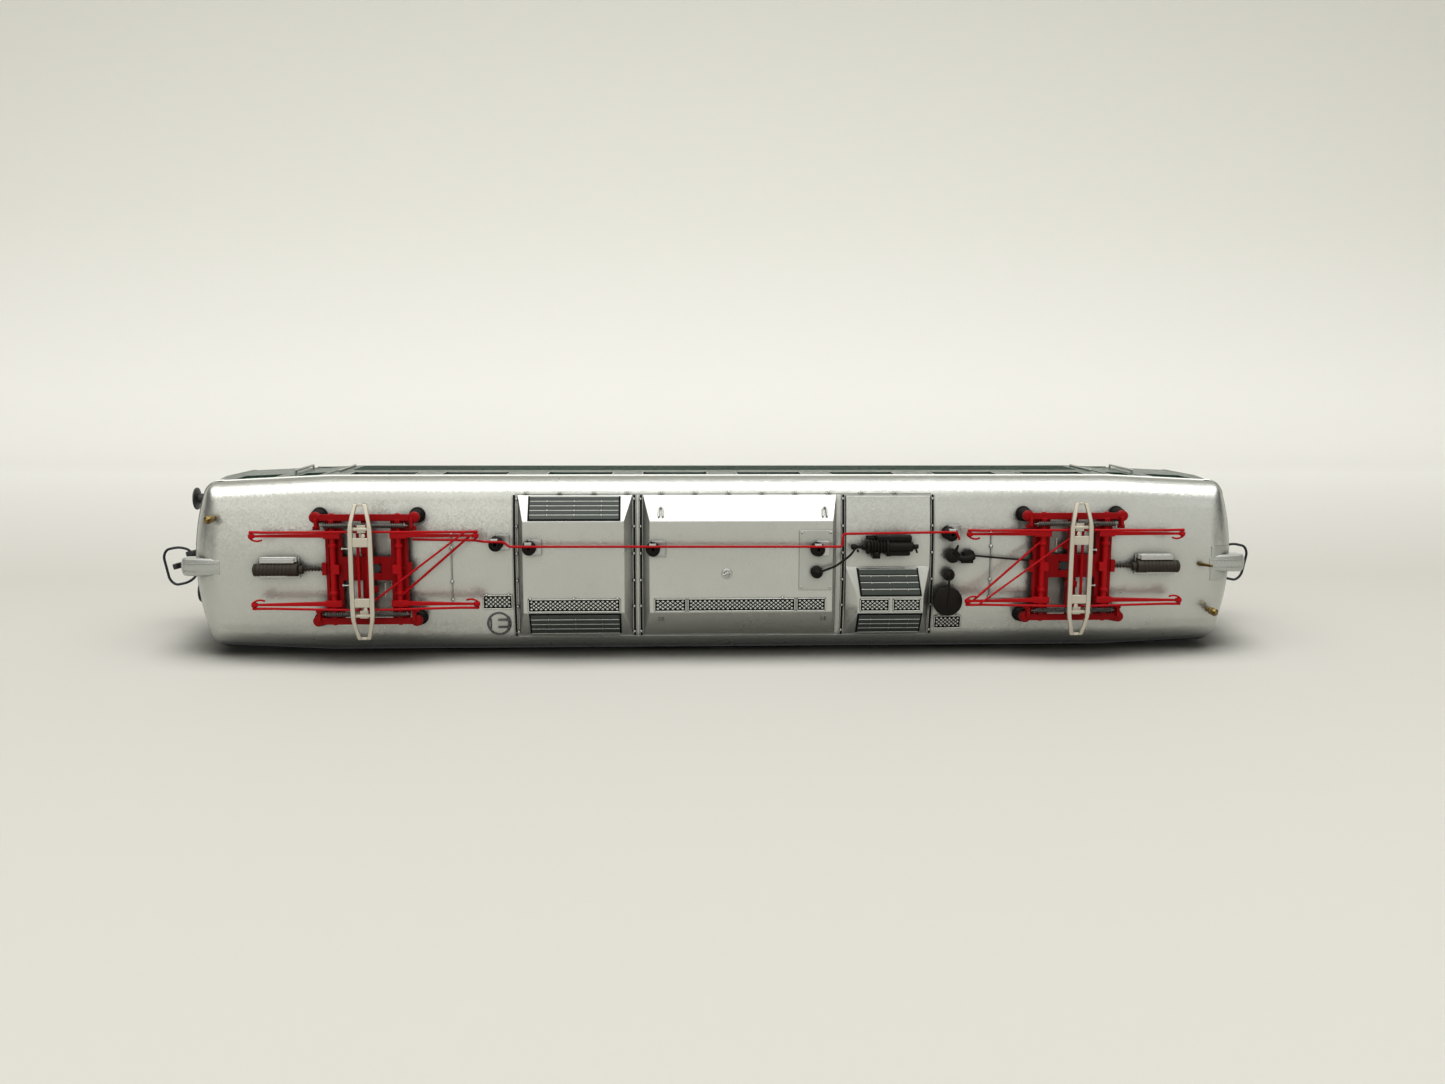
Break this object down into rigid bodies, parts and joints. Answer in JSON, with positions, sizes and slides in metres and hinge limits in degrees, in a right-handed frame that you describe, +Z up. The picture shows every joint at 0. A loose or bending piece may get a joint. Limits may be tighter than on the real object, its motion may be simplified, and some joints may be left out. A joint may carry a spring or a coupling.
{
  "type": "model electric locomotive",
  "caption": "Six-axle model electric locomotive with silver roof, dark green body, folding red pantographs, geared bogies, motor, and swinging loop couplings.",
  "frame": {"origin": "middle of the locomotive on top of the rails, halfway between the two bogie pivots; the wheel flanges reach 0.9 mm below it", "axes": "+X along the track towards end B, +Y across the track, +Z up"},
  "size_m": [0.2416, 0.0352, 0.0506],
  "materials": {
    "silver_roof": "satin silver paint with a fine metallic grain",
    "louvre_grey": "satin grey-silver paint, bright on the slat edges",
    "green_body": "dark green satin-gloss paint",
    "red_gear": "red satin paint on thin metal",
    "insulator_brown": "dark brown-black semi-gloss moulding",
    "brass": "turned brass",
    "clear_glazing": "clear moulded glazing",
    "bright_steel": "bright steel",
    "diecast": "dark zinc casting",
    "black_plastic": "matte black moulding",
    "board_green": "green circuit board",
    "cab_grey": "grey-green moulding",
    "rotor_steel": "laminated steel",
    "nickel_strip": "bare nickel silver, slightly warm",
    "gear_plastic": "off-white acetal",
    "wheel_steel": "darkened nickel-plated wheels",
    "black_wire": "blackened spring wire"
  },
  "bodies": {
    "chassis": {"body_shell": "green_body", "buffers": "black_plastic", "cab_interiors": "cab_grey", "chassis_frame": "diecast", "circuit_board": "board_green", "circuit_breaker": "insulator_brown", "handrails": "bright_steel", "lamp_lenses": "clear_glazing", "louvre_grilles": "louvre_grey", "motor_can": "bright_steel", "pantograph_base_frames": "red_gear", "pantograph_drives": "insulator_brown", "pantograph_springs": "bright_steel", "roof_conductor": "red_gear", "roof_hatches": "silver_roof", "roof_insulators": "insulator_brown", "roof_shell": "silver_roof", "screws": "bright_steel", "underfloor_tanks": "black_plastic", "voltage_transformer": "insulator_brown", "whistles": "brass", "window_glazing": "clear_glazing"},
    "rotor": {"motor_rotor": "rotor_steel", "flywheels": "brass"},
    "bogie_a": {"bogie_a_gearbox": "black_plastic", "bogie_a_gear_pins": "bright_steel", "bogie_a_keeper_plate": "black_plastic", "bogie_a_side_frames": "black_plastic"},
    "bogie_a_worm_shaft_body": {"bogie_a_worm_shaft": "bright_steel"},
    "bogie_a_worm_wheel_body": {"bogie_a_worm_wheel": "gear_plastic"},
    "bogie_a_idler_1_body": {"bogie_a_idler_1": "gear_plastic"},
    "bogie_a_idler_2_body": {"bogie_a_idler_2": "gear_plastic"},
    "bogie_a_wheelset_1_body": {"bogie_a_wheelset_1": "wheel_steel"},
    "bogie_a_wheelset_2_body": {"bogie_a_wheelset_2": "wheel_steel"},
    "bogie_a_wheelset_3_body": {"bogie_a_wheelset_3": "wheel_steel"},
    "coupler_a_head_body": {"coupler_a_head": "black_plastic"},
    "coupler_a_loop_body": {"coupler_a_loop": "black_wire"},
    "pantograph_a_lower_frame_1_body": {"pantograph_a_lower_frame_1": "red_gear"},
    "pantograph_a_lower_frame_2_body": {"pantograph_a_lower_frame_2": "red_gear"},
    "pantograph_a_upper_frame_1_body": {"pantograph_a_upper_frame_1": "red_gear"},
    "pantograph_a_upper_frame_2_body": {"pantograph_a_upper_frame_2": "red_gear"},
    "pantograph_a_head_body": {"pantograph_a_head": "nickel_strip"},
    "bogie_b": {"bogie_b_gearbox": "black_plastic", "bogie_b_gear_pins": "bright_steel", "bogie_b_keeper_plate": "black_plastic", "bogie_b_side_frames": "black_plastic"},
    "bogie_b_worm_shaft_body": {"bogie_b_worm_shaft": "bright_steel"},
    "bogie_b_worm_wheel_body": {"bogie_b_worm_wheel": "gear_plastic"},
    "bogie_b_idler_1_body": {"bogie_b_idler_1": "gear_plastic"},
    "bogie_b_idler_2_body": {"bogie_b_idler_2": "gear_plastic"},
    "bogie_b_wheelset_1_body": {"bogie_b_wheelset_1": "wheel_steel"},
    "bogie_b_wheelset_2_body": {"bogie_b_wheelset_2": "wheel_steel"},
    "bogie_b_wheelset_3_body": {"bogie_b_wheelset_3": "wheel_steel"},
    "coupler_b_head_body": {"coupler_b_head": "black_plastic"},
    "coupler_b_loop_body": {"coupler_b_loop": "black_wire"},
    "pantograph_b_lower_frame_1_body": {"pantograph_b_lower_frame_1": "red_gear"},
    "pantograph_b_lower_frame_2_body": {"pantograph_b_lower_frame_2": "red_gear"},
    "pantograph_b_upper_frame_1_body": {"pantograph_b_upper_frame_1": "red_gear"},
    "pantograph_b_upper_frame_2_body": {"pantograph_b_upper_frame_2": "red_gear"},
    "pantograph_b_head_body": {"pantograph_b_head": "nickel_strip"}
  },
  "joints": [
    {"name": "motor_spin", "type": "hinge", "parent": "chassis", "child": "rotor", "pos_m": [0, 0, 0.0246], "axis": [1, 0, 0], "continuous": true},
    {"name": "bogie_a_swivel", "type": "hinge", "parent": "chassis", "child": "bogie_a", "pos_m": [-0.0555, 0, 0.01], "axis": [0, 0, 1], "range_deg": [-8, 8]},
    {"name": "bogie_a_worm_spin", "type": "hinge", "parent": "bogie_a", "child": "bogie_a_worm_shaft_body", "pos_m": [-0.0555, 0, 0.0246], "axis": [1, 0, 0], "continuous": true},
    {"name": "bogie_a_worm_wheel_spin", "type": "hinge", "parent": "bogie_a", "child": "bogie_a_worm_wheel_body", "pos_m": [-0.0555, 0, 0.0158], "axis": [0, 1, 0], "continuous": true},
    {"name": "bogie_a_idler_1_spin", "type": "hinge", "parent": "bogie_a", "child": "bogie_a_idler_1_body", "pos_m": [-0.06996, 0, 0.01265], "axis": [0, 1, 0], "continuous": true},
    {"name": "bogie_a_idler_2_spin", "type": "hinge", "parent": "bogie_a", "child": "bogie_a_idler_2_body", "pos_m": [-0.04104, 0, 0.01265], "axis": [0, 1, 0], "continuous": true},
    {"name": "bogie_a_wheelset_1_spin", "type": "hinge", "parent": "bogie_a", "child": "bogie_a_wheelset_1_body", "pos_m": [-0.0811, 0, 0.0072], "axis": [0, 1, 0], "continuous": true},
    {"name": "bogie_a_wheelset_2_spin", "type": "hinge", "parent": "bogie_a", "child": "bogie_a_wheelset_2_body", "pos_m": [-0.0555, 0, 0.0072], "axis": [0, 1, 0], "continuous": true},
    {"name": "bogie_a_wheelset_3_spin", "type": "hinge", "parent": "bogie_a", "child": "bogie_a_wheelset_3_body", "pos_m": [-0.0299, 0, 0.0072], "axis": [0, 1, 0], "continuous": true},
    {"name": "bogie_b_swivel", "type": "hinge", "parent": "chassis", "child": "bogie_b", "pos_m": [0.0555, 0, 0.01], "axis": [0, 0, 1], "range_deg": [-8, 8]},
    {"name": "bogie_b_worm_spin", "type": "hinge", "parent": "bogie_b", "child": "bogie_b_worm_shaft_body", "pos_m": [0.0555, 0, 0.0246], "axis": [1, 0, 0], "continuous": true},
    {"name": "bogie_b_worm_wheel_spin", "type": "hinge", "parent": "bogie_b", "child": "bogie_b_worm_wheel_body", "pos_m": [0.0555, 0, 0.0158], "axis": [0, 1, 0], "continuous": true},
    {"name": "bogie_b_idler_1_spin", "type": "hinge", "parent": "bogie_b", "child": "bogie_b_idler_1_body", "pos_m": [0.06996, 0, 0.01265], "axis": [0, 1, 0], "continuous": true},
    {"name": "bogie_b_idler_2_spin", "type": "hinge", "parent": "bogie_b", "child": "bogie_b_idler_2_body", "pos_m": [0.04104, 0, 0.01265], "axis": [0, 1, 0], "continuous": true},
    {"name": "bogie_b_wheelset_1_spin", "type": "hinge", "parent": "bogie_b", "child": "bogie_b_wheelset_1_body", "pos_m": [0.0811, 0, 0.0072], "axis": [0, 1, 0], "continuous": true},
    {"name": "bogie_b_wheelset_2_spin", "type": "hinge", "parent": "bogie_b", "child": "bogie_b_wheelset_2_body", "pos_m": [0.0555, 0, 0.0072], "axis": [0, 1, 0], "continuous": true},
    {"name": "bogie_b_wheelset_3_spin", "type": "hinge", "parent": "bogie_b", "child": "bogie_b_wheelset_3_body", "pos_m": [0.0299, 0, 0.0072], "axis": [0, 1, 0], "continuous": true},
    {"name": "coupler_a_swing", "type": "hinge", "parent": "chassis", "child": "coupler_a_head_body", "pos_m": [-0.093, 0, 0.0086], "axis": [0, 0, 1], "range_deg": [-26.5, 3.5]},
    {"name": "coupler_a_loop_lift", "type": "hinge", "parent": "coupler_a_head_body", "child": "coupler_a_loop_body", "pos_m": [-0.11417, -0.00431, 0.0092], "axis": [-0.1994, 0.9799, 0], "range_deg": [0, 30]},
    {"name": "coupler_b_swing", "type": "hinge", "parent": "chassis", "child": "coupler_b_head_body", "pos_m": [0.093, 0, 0.0086], "axis": [0, 0, 1], "range_deg": [-3.5, 26.5]},
    {"name": "coupler_b_loop_lift", "type": "hinge", "parent": "coupler_b_head_body", "child": "coupler_b_loop_body", "pos_m": [0.11417, -0.00431, 0.0092], "axis": [-0.1994, -0.9799, 0], "range_deg": [0, 30]},
    {"name": "pantograph_a_raise", "type": "hinge", "parent": "chassis", "child": "pantograph_a_lower_frame_1_body", "pos_m": [-0.0747, 0, 0.0453], "axis": [0, 1, 0], "range_deg": [0, 46]},
    {"name": "pantograph_a_lower_2_turn", "type": "hinge", "parent": "chassis", "child": "pantograph_a_lower_frame_2_body", "pos_m": [-0.0623, 0, 0.0453], "axis": [0, -1, 0], "range_deg": [0, 46]},
    {"name": "pantograph_a_upper_2_turn", "type": "hinge", "parent": "pantograph_a_lower_frame_2_body", "child": "pantograph_a_upper_frame_2_body", "pos_m": [-0.04754, 0, 0.04633], "axis": [0, 1, 0], "range_deg": [0, 85.34]},
    {"name": "pantograph_a_upper_1_turn", "type": "hinge", "parent": "pantograph_a_lower_frame_1_body", "child": "pantograph_a_upper_frame_1_body", "pos_m": [-0.08946, 0, 0.04633], "axis": [0, -1, 0], "range_deg": [0, 85.34]},
    {"name": "pantograph_a_head_turn", "type": "hinge", "parent": "pantograph_a_upper_frame_1_body", "child": "pantograph_a_head_body", "pos_m": [-0.0694, 0, 0.04753], "axis": [0, 1, 0], "range_deg": [0, 39.34]},
    {"name": "pantograph_b_raise", "type": "hinge", "parent": "chassis", "child": "pantograph_b_lower_frame_1_body", "pos_m": [0.0747, 0, 0.0453], "axis": [0, -1, 0], "range_deg": [0, 46]},
    {"name": "pantograph_b_lower_2_turn", "type": "hinge", "parent": "chassis", "child": "pantograph_b_lower_frame_2_body", "pos_m": [0.0623, 0, 0.0453], "axis": [0, 1, 0], "range_deg": [0, 46]},
    {"name": "pantograph_b_upper_2_turn", "type": "hinge", "parent": "pantograph_b_lower_frame_2_body", "child": "pantograph_b_upper_frame_2_body", "pos_m": [0.04754, 0, 0.04633], "axis": [0, -1, 0], "range_deg": [0, 85.34]},
    {"name": "pantograph_b_upper_1_turn", "type": "hinge", "parent": "pantograph_b_lower_frame_1_body", "child": "pantograph_b_upper_frame_1_body", "pos_m": [0.08946, 0, 0.04633], "axis": [0, 1, 0], "range_deg": [0, 85.34]},
    {"name": "pantograph_b_head_turn", "type": "hinge", "parent": "pantograph_b_upper_frame_1_body", "child": "pantograph_b_head_body", "pos_m": [0.0694, 0, 0.04753], "axis": [0, -1, 0], "range_deg": [0, 39.34]}
  ],
  "couplings": [
    {"joint": "bogie_a_worm_spin", "follows": "motor_spin", "ratio": 1},
    {"joint": "bogie_a_worm_wheel_spin", "follows": "motor_spin", "ratio": -0.029412},
    {"joint": "bogie_a_idler_1_spin", "follows": "motor_spin", "ratio": 0.025},
    {"joint": "bogie_a_idler_2_spin", "follows": "motor_spin", "ratio": 0.025},
    {"joint": "bogie_a_wheelset_1_spin", "follows": "motor_spin", "ratio": -0.045455},
    {"joint": "bogie_a_wheelset_3_spin", "follows": "motor_spin", "ratio": -0.045455},
    {"joint": "bogie_b_worm_spin", "follows": "motor_spin", "ratio": 1},
    {"joint": "bogie_b_worm_wheel_spin", "follows": "motor_spin", "ratio": -0.029412},
    {"joint": "bogie_b_idler_1_spin", "follows": "motor_spin", "ratio": 0.025},
    {"joint": "bogie_b_idler_2_spin", "follows": "motor_spin", "ratio": 0.025},
    {"joint": "bogie_b_wheelset_1_spin", "follows": "motor_spin", "ratio": -0.045455},
    {"joint": "bogie_b_wheelset_3_spin", "follows": "motor_spin", "ratio": -0.045455},
    {"joint": "pantograph_a_lower_2_turn", "follows": "pantograph_a_raise", "ratio": 1},
    {"joint": "pantograph_a_upper_2_turn", "follows": "pantograph_a_raise", "ratio": 1.855},
    {"joint": "pantograph_a_upper_1_turn", "follows": "pantograph_a_raise", "ratio": 1.855},
    {"joint": "pantograph_a_head_turn", "follows": "pantograph_a_raise", "ratio": 0.855},
    {"joint": "pantograph_b_lower_2_turn", "follows": "pantograph_b_raise", "ratio": 1},
    {"joint": "pantograph_b_upper_2_turn", "follows": "pantograph_b_raise", "ratio": 1.855},
    {"joint": "pantograph_b_upper_1_turn", "follows": "pantograph_b_raise", "ratio": 1.855},
    {"joint": "pantograph_b_head_turn", "follows": "pantograph_b_raise", "ratio": 0.855}
  ]
}
